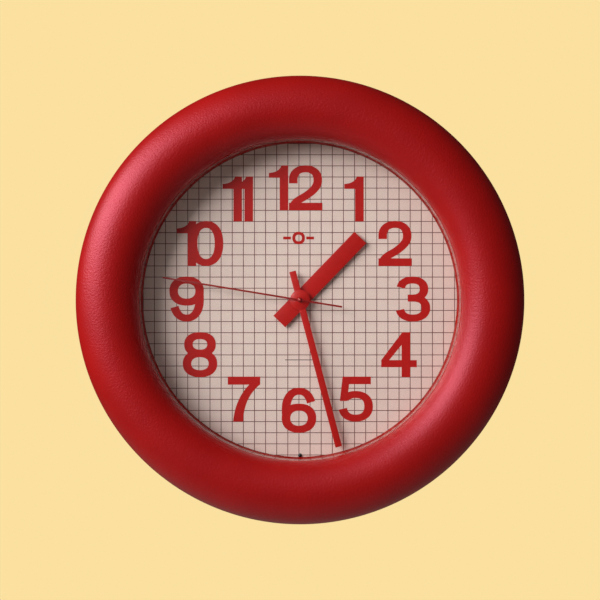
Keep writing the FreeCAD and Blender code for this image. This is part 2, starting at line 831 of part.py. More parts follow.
def hour_wheel():
    """Wheel and tube of the hour hand."""
    module = module_of(motion_distance, hour_teeth, motion_leaves)
    phase = meshing_phase(motion_leaves, 0.0, facing(motion_direction), hour_teeth)
    wheel = gear(hour_teeth, module, hour_span, (0.0, 0.0), phase)
    sleeve = disc(hour_tube_radius, hour_span[0], hour_hand_depth + hand_thickness)
    bore = disc(minute_tube_radius + running_clearance, hour_span[0], hour_hand_depth + hand_thickness)
    return wheel.fuse(sleeve).cut(bore).removeSplitter()


def setting_wheel():
    """Small wheel on the knob's shaft, in mesh with the motion wheel."""
    motion_phase = meshing_phase(minute_leaves, 0.0, motion_direction, motion_teeth)
    phase = meshing_phase(motion_teeth, motion_phase, setting_direction, setting_leaves)
    shaft = disc(knob_shaft_radius, knob_front, pivot_front, setting_at)
    wheel = gear(setting_leaves, motion_module, widened(motion_span), setting_at, phase)
    return shaft.fuse(wheel).removeSplitter()


def setting_knob():
    """Grooved knob at the back, sunk in its well."""
    rear = movement_rear + knob_recess
    knob = disc(knob_radius, rear, knob_front, setting_at)
    step = 360.0 / knob_groove_count
    places = [polar(knob_radius, step * i, setting_at) for i in range(knob_groove_count)]
    return knob.cut([disc(knob_groove_radius, rear, knob_front, at) for at in places])


# ---- hands ----
def bar(width, tail, tip, rear, front):
    """Straight bar with square ends, pointing to 12."""
    return block(-width / 2, width / 2, rear, front, -tail, tip)


def collet(fit_radius, rear):
    """Short sleeve pressed onto a hand's arbor or tube."""
    return disc(fit_radius + collet_wall, rear - collet_length, rear)


def hour_hand():
    """Broad stamped bar on its collet."""
    rear = hour_hand_depth
    hand = bar(hour_width, hour_tail, hour_tip, rear, rear + hand_thickness)
    hand = hand.fuse(collet(hour_tube_radius, rear))
    hole = disc(hour_tube_radius, rear - collet_length, rear + hand_thickness)
    return clockwise(hand.cut(hole).removeSplitter(), hour_turn)


def minute_boss():
    """Shallow dome in the middle of the minute hand."""
    rear = minute_hand_depth
    return domed_disc(minute_boss_radius, rear, rear + hand_thickness, minute_boss_rise)


def minute_hand():
    """Narrow stamped bar with a domed boss, on its collet."""
    rear = minute_hand_depth
    hand = bar(minute_width, minute_tail, minute_tip, rear, rear + hand_thickness)
    hand = hand.fuse([minute_boss(), collet(minute_tube_radius, rear)])
    top = rear + hand_thickness + minute_boss_rise
    hand = hand.cut(disc(minute_tube_radius, rear - collet_length, rear + hand_thickness))
    hand = hand.cut(disc(second_pin_radius + boss_hole_clearance, rear + hand_thickness, top))
    return clockwise(hand.removeSplitter(), minute_turn)


def second_hand():
    """Hair-thin bar with a long tail, on a small rounded pin."""
    rear = second_hand_depth
    front = rear + second_hand_thickness
    hand = bar(second_width, second_tail, second_tip, rear, front)
    base = rear - second_pin_foot
    pin = domed_disc(second_pin_radius, base, front + second_pin_rise - second_pin_dome, second_pin_dome)
    hand = hand.fuse(pin).cut(disc(second_arbor_radius, base, front))
    return clockwise(hand.removeSplitter(), second_turn)


SUB_PARTS = [
    case_ring, lens, spacer_ring, dial, locating_pin,
    back_plate, plate_screws, hanger_plate, hanger_screws,
    movement_case, movement_cover, movement_screws,
    battery, positive_contact, negative_contact,
    coil_core, coil_bobbin, coil_winding, stator,
    circuit_board, clock_chip, quartz_crystal,
    rotor_magnet, rotor_pinion, intermediate_wheel,
    second_wheel, second_arbor, third_wheel, minute_wheel, motion_wheel, hour_wheel,
    setting_wheel, setting_knob,
    hour_hand, minute_hand, second_hand,
]

os.makedirs("parts", exist_ok=True)
for make in SUB_PARTS:
    make().exportStep(f"parts/{make.__name__}.step")
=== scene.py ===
import bmesh
import bpy
import mathutils
import numpy as np
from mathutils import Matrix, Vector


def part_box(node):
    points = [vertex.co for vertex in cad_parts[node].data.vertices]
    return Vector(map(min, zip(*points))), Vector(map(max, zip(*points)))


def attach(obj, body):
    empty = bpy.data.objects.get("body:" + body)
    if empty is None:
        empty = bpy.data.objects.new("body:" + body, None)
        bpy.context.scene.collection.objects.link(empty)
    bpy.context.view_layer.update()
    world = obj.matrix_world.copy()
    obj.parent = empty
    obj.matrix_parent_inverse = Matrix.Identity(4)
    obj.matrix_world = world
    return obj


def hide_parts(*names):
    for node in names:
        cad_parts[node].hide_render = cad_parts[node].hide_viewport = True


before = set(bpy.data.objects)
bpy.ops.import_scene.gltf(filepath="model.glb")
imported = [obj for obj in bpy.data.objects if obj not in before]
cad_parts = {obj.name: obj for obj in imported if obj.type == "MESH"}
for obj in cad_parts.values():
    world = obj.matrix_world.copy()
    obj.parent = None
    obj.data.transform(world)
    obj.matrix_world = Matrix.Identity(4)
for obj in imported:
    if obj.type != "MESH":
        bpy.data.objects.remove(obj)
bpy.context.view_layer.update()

# ---- Case ring ----
# One hollow injection moulding in red ABS, open at the back. Its roll was moulded against a finely
# spark-eroded tool, which leaves a satin grain, while the short wall inside the lip is polished.
RING_TURNS = 384
RING_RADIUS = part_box("case_ring")[1].x
RING_CROWN = -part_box("case_ring")[0].y
WINDOW_RADIUS = 0.0895
REAR_RIM_RADIUS = 0.1175
SHELL_WALL = 0.0025
LIP_LENGTH = 0.006
SEAT_RADIUS = WINDOW_RADIUS + 0.004
LENS_FRONT = -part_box("lens")[0].y
PLATE_FRONT = -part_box("back_plate")[0].y
LIP_DEPTH = LENS_FRONT + LIP_LENGTH
BOSS_COUNT = 6
BOSS_RADIUS = 0.0036
BOSS_CIRCLE = 0.099
BOSS_REACH = 0.7
BOSS_TURNS = 32
PILOT_RADIUS = 0.0012
PILOT_DEPTH = 0.0125
POLISH_FADE = 0.0012
RING_GRAIN = 0.0009
RING_GRAIN_DEPTH = 0.00016
SHARP_ANGLE = np.radians(30)
MERGE_DISTANCE = 1e-7


def make_piece(name, points, faces):
    """A mesh object of the given points and faces. Doubled points on seams and poles are merged,
    normals are turned outward, and edges that turn by more than the sharp angle stay crisp."""
    mesh = bpy.data.meshes.new(name)
    mesh.from_pydata(np.asarray(points, float).tolist(), [], np.asarray(faces).tolist())
    piece = bpy.data.objects.new(name, mesh)
    bpy.context.scene.collection.objects.link(piece)
    work = bmesh.new()
    work.from_mesh(mesh)
    bmesh.ops.remove_doubles(work, verts=work.verts, dist=MERGE_DISTANCE)
    bmesh.ops.dissolve_degenerate(work, edges=work.edges, dist=MERGE_DISTANCE)
    bmesh.ops.recalc_face_normals(work, faces=work.faces)
    work.to_mesh(mesh)
    work.free()
    mesh.shade_smooth()
    mesh.set_sharp_from_angle(angle=SHARP_ANGLE)
    return piece


def turned_points(profile, turns, centre=(0.0, 0.0)):
    """Points and faces of a closed profile of (radius r, depth d) turned about an axis that runs
    along Y through the centre (x, z): each goes to (x + r cos a, -d, z + r sin a)."""
    radius, depth = np.asarray(profile, float).T
    angle = 2 * np.pi * np.arange(turns) / turns
    x = centre[0] + np.outer(np.cos(angle), radius)
    z = centre[1] + np.outer(np.sin(angle), radius)
    y = np.broadcast_to(-depth, x.shape)
    row = np.arange(turns)[:, None]
    column = np.arange(len(radius))[None, :]
    after = (row + 1) % turns
    beside = (column + 1) % len(radius)
    count = len(radius)
    corners = [row * count + column, row * count + beside]
    corners += [after * count + beside, after * count + column]
    return np.stack([x, y, z], -1).reshape(-1, 3), np.stack(corners, -1).reshape(-1, 4)


def turned(name, profile, turns=RING_TURNS, centre=(0.0, 0.0)):
    """A piece turned from a closed profile, as turned_points works it out."""
    return make_piece(name, *turned_points(profile, turns, centre))


def oval(middle, half_width, base, rise, start, end, steps):
    """Arc of an oval in a profile: radius middle + half_width cos t, depth base + rise sin t."""
    t = np.linspace(start, end, steps)
    return np.stack([middle + half_width * np.cos(t), base + rise * np.sin(t)], -1)


def ring_wall(inset, start, end, steps):
    """Flared outer wall: a large arc that is upright at the lip's depth and narrows to the rear rim."""
    flare = RING_RADIUS - REAR_RIM_RADIUS
    bow = (LIP_DEPTH ** 2 + flare ** 2) / (2 * flare)
    depth = np.linspace(start, end, steps)
    radius = RING_RADIUS - bow + np.sqrt((bow - inset) ** 2 - (LIP_DEPTH - depth) ** 2)
    return np.stack([radius, depth], -1)


def ring_profile():
    """Closed outline of the shell's section: outer wall, roll, window wall, seat, skirt and inside."""
    half = (RING_RADIUS - WINDOW_RADIUS) / 2
    middle = WINDOW_RADIUS + half
    rise = RING_CROWN - LIP_DEPTH
    skirt = SEAT_RADIUS + SHELL_WALL
    throat = WINDOW_RADIUS + SHELL_WALL
    shoulder = LENS_FRONT + SHELL_WALL
    corners = [(WINDOW_RADIUS, LENS_FRONT), (SEAT_RADIUS, LENS_FRONT), (SEAT_RADIUS, PLATE_FRONT)]
    corners += [(skirt, PLATE_FRONT), (skirt, shoulder), (throat, shoulder)]
    inner = oval(middle, half - SHELL_WALL, LIP_DEPTH, rise - SHELL_WALL, np.pi, 0.0, 48)
    runs = [ring_wall(0.0, 0.0, LIP_DEPTH, 32), oval(middle, half, LIP_DEPTH, rise, 0.0, np.pi, 96)[1:]]
    runs += [np.array(corners), inner, ring_wall(SHELL_WALL, LIP_DEPTH, 0.0, 24)[1:]]
    return np.concatenate(runs)


def boss_profile():
    """Screw boss: a post from the plate up into the roll's wall, with a blind pilot hole."""
    top = LIP_DEPTH + (RING_CROWN - LIP_DEPTH) * BOSS_REACH
    floor = PLATE_FRONT + PILOT_DEPTH
    outside = [(0, top), (BOSS_RADIUS, top), (BOSS_RADIUS, PLATE_FRONT)]
    return outside + [(PILOT_RADIUS, PLATE_FRONT), (PILOT_RADIUS, floor), (0, floor)]


def ring_bosses():
    """The screw bosses, evenly spaced, as one piece. The first lies half a step round."""
    points, faces = [], []
    for number in range(BOSS_COUNT):
        angle = 2 * np.pi * (number + 0.5) / BOSS_COUNT
        place = (BOSS_CIRCLE * np.cos(angle), BOSS_CIRCLE * np.sin(angle))
        more_points, more_faces = turned_points(boss_profile(), BOSS_TURNS, place)
        faces.append(more_faces + sum(map(len, points)))
        points.append(more_points)
    return make_piece("ring_bosses", np.concatenate(points), np.concatenate(faces))


def linear(colour):
    """sRGB hex to linear RGBA: c / 12.92 up to 0.04045, else ((c + 0.055) / 1.055) to the 2.4."""
    channel = np.array([int(colour[i:i + 2], 16) for i in (1, 3, 5)]) / 255
    value = np.where(channel <= 0.04045, channel / 12.92, ((channel + 0.055) / 1.055) ** 2.4)
    return (*value.tolist(), 1.0)


def add_node(tree, kind, links=None, inputs=None, **settings):
    """Adds a node, sets its properties and input values, and links other nodes' outputs to its inputs."""
    node = tree.nodes.new("ShaderNode" + kind)
    for name, value in settings.items():
        setattr(node, name, value)
    for name, value in (inputs or {}).items():
        node.inputs[name].default_value = value
    for name, socket in (links or {}).items():
        tree.links.new(socket, node.inputs[name])
    return node


def start_material(name):
    """A new material with an empty node tree, its output and the object's own coordinates."""
    material = bpy.data.materials.new(name)
    material.use_nodes = True
    tree = material.node_tree
    tree.nodes.clear()
    place = add_node(tree, "TexCoord").outputs["Object"]
    return material, tree, place


def end_material(material, shader):
    """Links the finished shader to the output and returns the material."""
    tree = material.node_tree
    add_node(tree, "OutputMaterial", links={"Surface": shader.outputs[0]})
    return material


def mottle(tree, place, colour_a, colour_b, size):
    """Colour that drifts between two tones in patches of the given size in metres."""
    noise = add_node(tree, "TexNoise", links={"Vector": place}, inputs={"Scale": 1 / size, "Detail": 3.0})
    ramp = add_node(tree, "ValToRGB", links={"Fac": noise.outputs["Fac"]})
    ramp.color_ramp.elements[0].position = 0.35
    ramp.color_ramp.elements[1].position = 0.65
    ramp.color_ramp.elements[0].color = linear(colour_a)
    ramp.color_ramp.elements[1].color = linear(colour_b)
    return ramp.outputs["Color"]


def grain(tree, place, size, height, strength=1.0):
    """Bump of fine irregular grain, with its size and height in metres."""
    noise = add_node(tree, "TexNoise", links={"Vector": place}, inputs={"Scale": 1 / size, "Detail": 2.0})
    inputs = {"Strength": strength, "Distance": height}
    bump = add_node(tree, "Bump", links={"Height": noise.outputs["Fac"]}, inputs=inputs)
    return bump.outputs["Normal"]


def satin_red_abs():
    """Red ABS from a spark-eroded tool: the grain breaks the highlight into fine speckle. The real
    grain is near 0.1 mm and is drawn at 0.9 mm so that it shows. Inside the lip it is polished."""
    material, tree, place = start_material("satin_red_abs")
    axes = add_node(tree, "SeparateXYZ", links={"Vector": place})
    flat = add_node(tree, "CombineXYZ", links={"X": axes.outputs["X"], "Z": axes.outputs["Z"]})
    radius = add_node(tree, "VectorMath", links={0: flat.outputs[0]}, operation="LENGTH").outputs["Value"]
    edge = {"From Min": WINDOW_RADIUS, "From Max": WINDOW_RADIUS + POLISH_FADE}
    textured = add_node(tree, "MapRange", links={"Value": radius}, inputs=edge).outputs[0]
    limits = {"To Min": 0.2, "To Max": 0.4}
    roughness = add_node(tree, "MapRange", links={"Value": textured}, inputs=limits).outputs[0]
    noise_inputs = {"Scale": 1 / RING_GRAIN, "Detail": 3.0}
    noise = add_node(tree, "TexNoise", links={"Vector": place}, inputs=noise_inputs)
    height = add_node(tree, "Math", links={0: noise.outputs["Fac"], 1: textured}, operation="MULTIPLY")
    bump_inputs = {"Strength": 1.0, "Distance": RING_GRAIN_DEPTH}
    bump = add_node(tree, "Bump", links={"Height": height.outputs[0]}, inputs=bump_inputs)
    colour = mottle(tree, place, "#8B0A06", "#930C07", 0.03)
    links = {"Base Color": colour, "Roughness": roughness, "Normal": bump.outputs["Normal"]}
    inputs = {"IOR": 1.58, "Specular Tint": linear("#FF96AC")}
    return end_material(material, add_node(tree, "BsdfPrincipled", links=links, inputs=inputs))


RED_ABS = satin_red_abs()
for ring_piece in (turned("ring_shell", ring_profile()), ring_bosses()):
    ring_piece.data.materials.append(RED_ABS)
    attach(ring_piece, "clock")
    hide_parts("case_ring")

# ---- Spacer ring ----
# A plain hoop of the same red ABS, polished inside. It stands between the dial and the lens and
# carries the window wall on down to the dial, whose grid it mirrors. A notch clears the pin.
SPACER_EDGE = 0.00025
SPACER_TURNS = RING_TURNS * 4
NOTCH_CLEARANCE = 0.0001
NOTCH_STEP = 0.00001
PIN_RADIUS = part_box("locating_pin")[1].x
PIN_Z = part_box("locating_pin")[0].z + PIN_RADIUS
PIN_TOP = -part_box("locating_pin")[0].y
DIAL_FRONT = -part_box("dial")[0].y
LENS_REAR = -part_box("lens")[1].y
INSERT_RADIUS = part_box("spacer_ring")[1].x


def bevelled_profile(inner, outer, rear, front, edge):
    """Rectangle in a profile with small flats at its four corners."""
    corners = [(inner + edge, rear), (outer - edge, rear), (outer, rear + edge), (outer, front - edge)]
    corners += [(outer - edge, front), (inner + edge, front), (inner, front - edge), (inner, rear + edge)]
    return np.array(corners)


def spacer_ring():
    """Hoop whose lower rows step outward round the pin: at angle a from the pin's, the notch is
    where the ray from the axis leaves a circle of the notch's radius about the pin."""
    notch_top = PIN_TOP + NOTCH_CLEARANCE
    notch = PIN_RADIUS + NOTCH_CLEARANCE
    profile = bevelled_profile(WINDOW_RADIUS, INSERT_RADIUS, DIAL_FRONT, LENS_REAR, SPACER_EDGE)
    lower = np.array([(WINDOW_RADIUS, notch_top), (WINDOW_RADIUS, notch_top - NOTCH_STEP)])
    profile = np.concatenate([profile[:7], lower, profile[7:]])
    points, faces = turned_points(profile, SPACER_TURNS)
    table = points.reshape(SPACER_TURNS, len(profile), 3)
    angle = np.arctan2(table[..., 0], -table[..., 2])
    offset = abs(PIN_Z) * np.sin(angle)
    inside = np.abs(offset) < notch
    exit_radius = abs(PIN_Z) * np.cos(angle) + np.sqrt(np.where(inside, notch ** 2 - offset ** 2, 0))
    radius = np.hypot(table[..., 0], table[..., 2])
    low = -table[..., 1] < notch_top - NOTCH_STEP / 2
    inner = radius < WINDOW_RADIUS + 2 * SPACER_EDGE
    wanted = np.where(inside & low & inner & (np.cos(angle) > 0), np.maximum(radius, exit_radius), radius)
    table[..., 0] *= wanted / radius
    table[..., 2] *= wanted / radius
    return make_piece("window_wall", table.reshape(-1, 3), faces)


def polished_red_abs():
    """The same ABS against a polished tool: a clear thin gloss over a matt body mirrors the dial's
    grid at this low angle, with a faint ripple."""
    material, tree, place = start_material("polished_red_abs")
    colour = mottle(tree, place, "#8B0A06", "#930C07", 0.02)
    ripple = grain(tree, place, 0.006, 0.000004, 0.3)
    links = {"Base Color": colour, "Normal": ripple}
    inputs = {"Roughness": 0.5, "Specular IOR Level": 0.0, "Coat Weight": 0.22, "Coat Roughness": 0.08}
    return end_material(material, add_node(tree, "BsdfPrincipled", links=links, inputs=inputs))


window_wall = spacer_ring()
window_wall.data.materials.append(polished_red_abs())
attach(window_wall, "clock")
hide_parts("spacer_ring")

# ---- Lens ----
# A flat disc cut from clear acrylic sheet with its edges eased, held between the case ring's seat
# and the spacer ring.
LENS_EDGE = 0.0004


def clear_acrylic():
    """Polished acrylic: nearly invisible, with a thin cool reflection and the faintest ripple of
    cast sheet. Light from lamps and light scattered by the dial pass straight through it."""
    material, tree, place = start_material("clear_acrylic")
    haze = grain(tree, place, 0.03, 0.000001, 0.1)
    glass_inputs = {"Color": linear("#FAFCFC"), "Roughness": 0.0, "IOR": 1.49}
    glass = add_node(tree, "BsdfGlass", links={"Normal": haze}, inputs=glass_inputs)
    clear = add_node(tree, "BsdfTransparent", inputs={"Color": linear("#FAFCFC")})
    path = add_node(tree, "LightPath")
    rays = {0: path.outputs["Is Shadow Ray"], 1: path.outputs["Is Diffuse Ray"]}
    lamp = add_node(tree, "Math", links=rays, operation="MAXIMUM")
    links = {0: lamp.outputs[0], 1: glass.outputs[0], 2: clear.outputs[0]}
    return end_material(material, add_node(tree, "MixShader", links=links))


def lens_profile():
    """Right half of the disc's section, with its outer corners eased."""
    eased = bevelled_profile(0, INSERT_RADIUS, LENS_REAR, LENS_FRONT, LENS_EDGE)[1:5]
    return np.concatenate([[(0, LENS_REAR)], eased, [(0, LENS_FRONT)]])


lens = turned("lens_disc", lens_profile())
lens.data.materials.append(clear_acrylic())
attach(lens, "clock")
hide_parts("lens")

# ---- Dial ----
# A disc of thin styrene sheet, screen printed: a pinkish cream ground, a fine brown square grid of
# a quarter inch and red numerals four squares tall, which stand upright on the grid's rows.
CELL = 0.00635
GRID_LINE = 0.00042
GRID_REACH = 0.0915
GRID_SHIFT = (-0.0006, 0.0004)
INK_LIFT = 0.00002
INK_LAYER = 0.000003
INK_LAYERS = 5
DIAL_REAR = PLATE_FRONT
DIAL_HOLE = 0.0042


def printed_cream():
    """Matt cream ink on styrene: even, with a very faint mottle and a soft sheen."""
    material, tree, place = start_material("printed_cream")
    colour = mottle(tree, place, "#E6C8BD", "#E9CCC1", 0.012)
    tooth = grain(tree, place, 0.0008, 0.00001, 0.3)
    links = {"Base Color": colour, "Normal": tooth}
    inputs = {"Roughness": 0.55, "IOR": 1.5}
    return end_material(material, add_node(tree, "BsdfPrincipled", links=links, inputs=inputs))


def ink(name, colour_a, colour_b, roughness):
    """Screen ink: opaque, with slight pinholes of tone where the mesh left it thinner."""
    material, tree, place = start_material(name)
    colour = mottle(tree, place, colour_a, colour_b, 0.0015)
    tooth = grain(tree, place, 0.0006, 0.00001, 0.3)
    links = {"Base Color": colour, "Normal": tooth}
    inputs = {"Roughness": roughness, "IOR": 1.5, "Specular IOR Level": 0.3}
    return end_material(material, add_node(tree, "BsdfPrincipled", links=links, inputs=inputs))


def prisms(outlines, rear, front, layers=1, layer=0.0):
    """Points and faces of flat shapes: each outline is (left edge, right edge), two rows of (x, z)
    points, and becomes a closed strip between two depths, with its sides and, unless it's a loop,
    its ends. Overlapping strips lie a layer apart, in turn, so that no two share a plane."""
    points, faces, base = [], [], 0
    for number, (left, right) in enumerate(outlines):
        left, right = np.asarray(left, float), np.asarray(right, float)
        count = len(left)
        lift = number % layers * layer
        depths = (front + lift, rear - lift)
        rows = [(edge, depth) for depth in depths for edge in (left, right)]
        rows = [np.stack([edge[:, 0], np.full(count, -depth), edge[:, 1]], -1) for edge, depth in rows]
        points.append(np.concatenate(rows))
        i = np.arange(count - 1) + base
        a, b, c, d = i, i + count, i + 2 * count, i + 3 * count
        quads = [np.stack([a, b, b + 1, a + 1], -1), np.stack([c, c + 1, d + 1, d], -1)]
        quads += [np.stack([a, a + 1, c + 1, c], -1), np.stack([b, d, d + 1, b + 1], -1)]
        ends = () if np.allclose(left[0], left[-1], atol=MERGE_DISTANCE) else (base, base + count - 1)
        for end in ends:
            quads.append(np.array([[end, end + count, end + 3 * count, end + 2 * count]]))
        faces.append(np.concatenate(quads))
        base += 4 * count
    return np.concatenate(points), np.concatenate(faces)


def grid_outlines():
    """Whole level lines, and upright lines cut into the spans between them, out to the dial's rim."""
    lines = np.arange(-int(GRID_REACH / CELL), int(GRID_REACH / CELL) + 1) * CELL
    half = GRID_LINE / 2
    reach = np.sqrt(GRID_REACH ** 2 - lines ** 2)
    outlines = []
    for z, end in zip(lines, reach):
        ends = np.array([-end, end])
        outlines.append((np.stack([ends, [z - half] * 2], -1), np.stack([ends, [z + half] * 2], -1)))
    for x, end in zip(lines, reach):
        stops = np.concatenate([[-end], lines[np.abs(lines) < end - half], [end]])
        for low, high in zip(stops[:-1] + half, stops[1:] - half):
            outlines.append(([(x - half, low), (x - half, high)], [(x + half, low), (x + half, high)]))
    shift = np.array(GRID_SHIFT)
    return [(np.asarray(left) + shift, np.asarray(right) + shift) for left, right in outlines]


# Numerals: a heavy grotesque. Each is made of strokes whose width follows their direction, wider
# where they run up and down than where they run across. Sizes are in metres, from the left foot.
FIGURE_HEIGHT = 4 * CELL + 0.0003
FIGURE_WIDTH = 0.0197
STEM = 0.0049
BAR = 0.0040
SQUARENESS = 2.25


def bowl(middle, half, start, end, steps=40):
    """Arc of a slightly squared oval, from one angle to another in degrees: the cosine and sine are
    each raised to 2 / squareness with their signs kept."""
    t = np.radians(np.linspace(start, end, steps))
    across = np.sign(np.cos(t)) * np.abs(np.cos(t)) ** (2 / SQUARENESS)
    upward = np.sign(np.sin(t)) * np.abs(np.sin(t)) ** (2 / SQUARENESS)
    return np.stack([middle[0] + half[0] * across, middle[1] + half[1] * upward], -1)


def stroke(path, stem=STEM, bar=BAR):
    """Left and right edges of a stroke along a path: at each point half the width is
    sqrt((stem * up)^2 + (bar * across)^2) / 2, where (across, up) is the path's unit direction."""
    path = np.asarray(path, float)
    step = np.gradient(path, axis=0)
    step /= np.linalg.norm(step, axis=1)[:, None]
    half = np.hypot(stem * step[:, 1], bar * step[:, 0])[:, None] / 2
    normal = np.stack([-step[:, 1], step[:, 0]], -1)
    return path + half * normal, path - half * normal


def loop(middle, half):
    """Closed oval stroke, as its two edges: the outer oval and the inner one."""
    outer = bowl(middle, half, 0, 360, 97)
    inner = bowl(middle, (half[0] - STEM, half[1] - BAR), 0, 360, 97)
    return outer, inner


def rectangle(x_low, x_high, z_low, z_high):
    """Upright rectangle as a strip."""
    return [(x_low, z_low), (x_low, z_high)], [(x_high, z_low), (x_high, z_high)]


def bend(start, pull, end, steps=24):
    """Smooth curve from start to end, pulled towards a third point (quadratic blend)."""
    t = np.linspace(0, 1, steps)[:, None]
    return (1 - t) ** 2 * np.array(start) + 2 * t * (1 - t) * np.array(pull) + t ** 2 * np.array(end)


def figure_strokes(figure):
    """Strokes of one figure, and its width."""
    w, h = FIGURE_WIDTH, FIGURE_HEIGHT
    s, b = STEM / 2, BAR / 2
    mid = w / 2
    if figure == "0":
        return [loop((mid, h / 2), (mid, h / 2))], w
    if figure == "1":
        low = h - 0.0071
        flag = np.concatenate([bend((0, h - 0.0043), (0.0058, h - 0.0040), (0.0072, h)), [(0.0111, h)]])
        flag_low = np.stack([flag[:, 0], np.full(len(flag), low)], -1)
        return [rectangle(0.0111 - STEM, 0.0111, 0, low), (flag, flag_low)], 0.0111
    if figure == "2":
        start = np.array([(s, h - 0.0103)])
        top = bowl((mid - 0.0004, h - 0.0084), (mid - s - 0.0004, 0.0084 - b), 180, -14)
        down = bend(top[-1], (w - s - 0.0020, 0.0112), (0.0064, 0.0064), 14)[1:]
        foot = bend(down[-1], (0.0032, 0.0046), (s, b), 8)[1:]
        path = np.concatenate([start, top, down, foot])
        return [stroke(path), rectangle(0.0, w - 0.0006, 0, BAR * 1.08)], w - 0.0006
    if figure == "3":
        waist = 0.0114
        upper_half, lower_half = (h - waist) / 2, (waist + BAR) / 2
        upper = bowl((mid - 0.0003, waist + upper_half), (mid - s - 0.0008, upper_half - b), 172, -90)
        lower = bowl((mid, lower_half), (mid - s, lower_half - b), 90, -172)
        arm = rectangle(mid - 0.0030, mid, waist, waist + BAR)
        return [stroke(upper), stroke(lower), arm], w
    if figure == "4":
        right = w * 0.84
        left = right - STEM
        bar_low = 0.0057
        bar = rectangle(0, w + 0.0006, bar_low, bar_low + BAR)
        slope = [(0, bar_low + BAR), (left + 0.0004, h)]
        slope_low = [(0.0045, bar_low + BAR), (left + 0.0004, h - 0.0068)]
        return [rectangle(left, right, 0, h), bar, (slope, slope_low)], w
    if figure == "5":
        bar = rectangle(0.0026, w - 0.0012, h - BAR * 1.08, h)
        back = ([(0.0024, h), (0.0008, 0.0118)], [(0.0066, h), (0.0050, 0.0118)])
        belly = bowl((mid, 0.00875), (mid - s, 0.00875 - b), 140, -170)
        return [bar, back, stroke(belly)], w
    if figure == "6":
        ring = loop((mid, 0.0083), (mid, 0.0083))
        hook = bowl((mid, h / 2), (mid - s, h / 2 - b), 22, 196)
        return [ring, stroke(hook)], w
    if figure == "7":
        bar = rectangle(0.0, w - 0.0012, h - BAR * 1.15, h)
        left = bend((w - 0.0072, h - BAR * 1.1), (0.0044, 0.0135), (0.0030, 0), 20)
        right = bend((w - 0.0012, h - BAR * 1.1), (0.0090, 0.0135), (0.0088, 0), 20)
        return [bar, (left, right)], w
    if figure == "8":
        upper = loop((mid, h - 0.0070), (mid - 0.0008, 0.0070))
        return [upper, loop((mid, 0.0077), (mid, 0.0077))], w
    turned_six, width = figure_strokes("6")
    about = np.array([w, h])
    return [(about - np.asarray(a), about - np.asarray(c)) for a, c in turned_six], width


# Each numeral's middle, in grid squares right of the axis, and the grid row of its foot above it.
NUMERAL_PLACES = {
    "12": (-0.3, 8), "1": (4.95, 7), "2": (8.65, 3), "3": (10.25, -2), "4": (8.95, -7),
    "5": (5.1, -11), "6": (0.0, -12), "7": (-4.85, -11), "8": (-8.9, -7), "9": (-10.1, -2),
    "10": (-8.9, 3), "11": (-5.5, 7),
}
FIGURE_OVERLAP = {"10": 0.0042, "11": 0.0048, "12": -0.0004}


def numeral_outlines():
    """All twelve numerals: figures set side by side, centred on their places."""
    outlines = []
    for text, (column, row) in NUMERAL_PLACES.items():
        drawn = [figure_strokes(figure) for figure in text]
        total = sum(width for _, width in drawn) - FIGURE_OVERLAP.get(text, 0.0) * (len(text) - 1)
        x = column * CELL - total / 2
        for strokes, width in drawn:
            place = np.array([x, row * CELL]) + GRID_SHIFT
            outlines += [(np.asarray(left) + place, np.asarray(right) + place) for left, right in strokes]
            x += width - FIGURE_OVERLAP.get(text, 0.0)
    return outlines


EMBLEM_MIDDLE = (-0.0008, 0.0354)
EMBLEM_OUTER = 0.0036
EMBLEM_INNER = 0.0019
EMBLEM_BAR_ENDS = (0.0044, 0.0088)
EMBLEM_BAR_HALF = 0.0008
RULE_ENDS = (-0.0086, 0.0080)
RULE_SPAN = (-0.0344, -0.0340)


def mark_outlines():
    """Small plain device above the centre, a ring between two bars, and a thin rule below it."""
    ring = bowl(EMBLEM_MIDDLE, (EMBLEM_OUTER, EMBLEM_OUTER), 0, 360, 49)
    hole = bowl(EMBLEM_MIDDLE, (EMBLEM_INNER, EMBLEM_INNER), 0, 360, 49)
    x, z = EMBLEM_MIDDLE
    near, far = EMBLEM_BAR_ENDS
    low, high = z - EMBLEM_BAR_HALF, z + EMBLEM_BAR_HALF
    bars = [rectangle(x - far, x - near, low, high), rectangle(x + near, x + far, low, high)]
    return [(ring, hole)] + bars, [rectangle(*RULE_ENDS, *RULE_SPAN)]


def tube_profile(outer, inner, rear, front):
    """Short tube or washer in a profile."""
    return [(inner, rear), (outer, rear), (outer, front), (inner, front)]


dial = turned("dial_sheet", tube_profile(INSERT_RADIUS, DIAL_HOLE, DIAL_REAR, DIAL_FRONT))
dial.data.materials.append(printed_cream())
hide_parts("dial")
emblem, rule = mark_outlines()
grid = make_piece("dial_grid", *prisms(grid_outlines(), DIAL_FRONT, DIAL_FRONT + INK_LIFT))
grid.data.materials.append(ink("brown_grid_ink", "#6C3A36", "#74423D", 0.5))
figures = prisms(numeral_outlines() + emblem, DIAL_FRONT, DIAL_FRONT + 2 * INK_LIFT, INK_LAYERS, INK_LAYER)
numerals = make_piece("dial_numerals", *figures)
numerals.data.materials.append(ink("red_numeral_ink", "#B4100B", "#BB120D", 0.45))
thin_rule = make_piece("dial_rule", *prisms(rule, DIAL_FRONT, DIAL_FRONT + 2 * INK_LIFT))
thin_rule.data.materials.append(ink("dark_rule_ink", "#3A1E1C", "#442624", 0.5))
for printed in (dial, grid, numerals, thin_rule):
    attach(printed, "clock")

# ---- Locating pin ----
# A small black acetal pin with a rounded head, pressed through the dial into the plate, so that
# the dial can't turn.
PIN_DOME = 0.0006
PIN_FOOT = -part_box("locating_pin")[1].y


